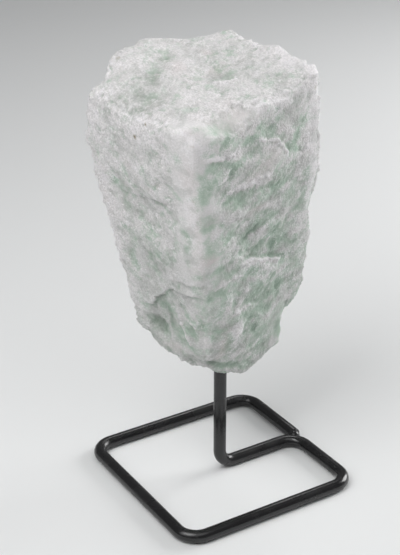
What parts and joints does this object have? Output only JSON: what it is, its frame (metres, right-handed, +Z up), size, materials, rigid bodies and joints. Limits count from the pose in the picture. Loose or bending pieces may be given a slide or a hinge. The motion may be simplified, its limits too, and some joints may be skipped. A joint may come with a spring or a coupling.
{
  "type": "rough amazonite on wire stand",
  "caption": "Rough block of pale green and white amazonite, drilled from below and held upright on a stem of bent black wire with a square base.",
  "frame": {"origin": "on the surface that the base stands on, under the middle of the whole object's box", "axes": "+Z up along the stem, +X from the stem along the arm to the base's side, +Y towards the base's closed side behind the stone"},
  "size_m": [0.0522, 0.0586, 0.1074],
  "materials": {
    "amazonite": "rough, sugary cleavage and fracture surfaces, frosted white over pale green",
    "black_enamel": "glossy black enamel on steel wire"
  },
  "bodies": {
    "root": {"stone": "amazonite", "wire_stand": "black_enamel"}
  },
  "joints": []
}
